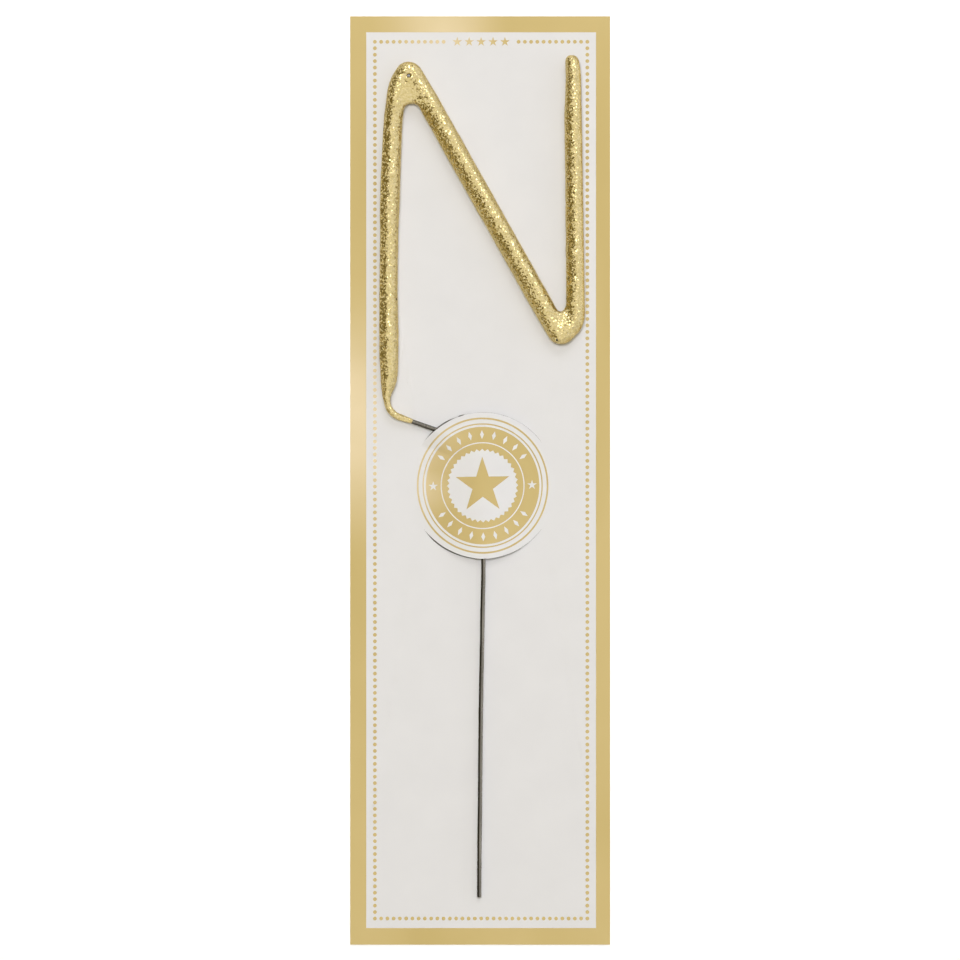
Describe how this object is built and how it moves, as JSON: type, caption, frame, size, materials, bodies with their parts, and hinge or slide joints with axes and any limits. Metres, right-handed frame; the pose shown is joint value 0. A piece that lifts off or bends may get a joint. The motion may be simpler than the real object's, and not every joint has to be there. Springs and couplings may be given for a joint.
{
  "type": "letter sparkler on a card",
  "caption": "Gold-coated sparkler bent from one steel wire into a capital letter, its bare stem held under a die-cut medallion strap on a long printed backing card.",
  "frame": {"origin": "middle of the card's back, on the surface that the card lies on", "axes": "+Z out of the printed face, +Y up the card towards the top of the letter, +X to the right as the letter reads"},
  "size_m": [0.06, 0.2144, 0.0054],
  "materials": {
    "card_board": "smooth white board, matt",
    "gold_foil": "hot-stamped satin gold foil",
    "dark_steel": "bare dark drawn wire",
    "burning_mix": "dry, grainy, grey",
    "gold_lacquer": "metallic gold lacquer with glitter"
  },
  "bodies": {
    "card": {"backing_card": "card_board", "foil_border": "gold_foil", "foil_dots": "gold_foil", "foil_header_stars": "gold_foil", "foil_outer_ring": "gold_foil", "foil_inner_ring": "gold_foil", "foil_band": "gold_foil", "foil_collar": "gold_foil", "foil_star": "gold_foil"},
    "sparkler": {"wire_core": "dark_steel", "spark_mix": "burning_mix", "gold_lacquer": "gold_lacquer"}
  },
  "joints": [
    {"name": "sparkler_draw_out", "type": "slide", "parent": "card", "child": "sparkler", "axis": [0, 1, 0], "range_m": [0, 0.111]}
  ]
}
